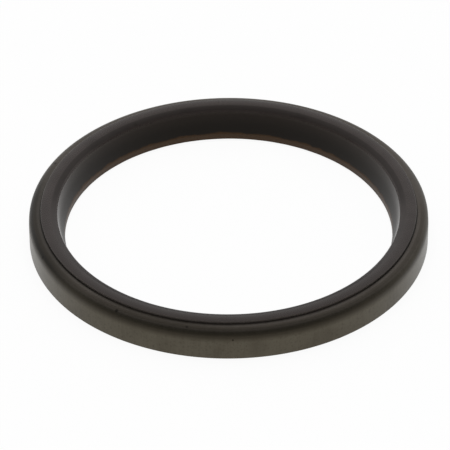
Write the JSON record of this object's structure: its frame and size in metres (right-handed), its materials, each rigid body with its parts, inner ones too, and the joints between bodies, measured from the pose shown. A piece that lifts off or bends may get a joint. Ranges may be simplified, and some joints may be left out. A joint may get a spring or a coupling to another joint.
{
  "type": "wiper seal",
  "caption": "Round wiper seal: a drawn steel case with a crowned rubber face and a tapered rubber lip moulded into it, which keeps dirt off a shaft or rod.",
  "frame": {"origin": "the ring's centre, on the plane of the case's open end, on which the seal lies", "axes": "+Z along the shaft's axis, from the open end of the case to the flange and the crowned face; X and Y are equal"},
  "size_m": [0.1, 0.1, 0.009],
  "materials": {
    "case_steel": "drawn sheet steel with a dark grey-olive phosphate and oil finish, satin",
    "nitrile_rubber": "black nitrile rubber, moulded, soft sheen"
  },
  "bodies": {
    "root": {"steel_case": "case_steel", "rubber_lip": "nitrile_rubber"}
  },
  "joints": []
}
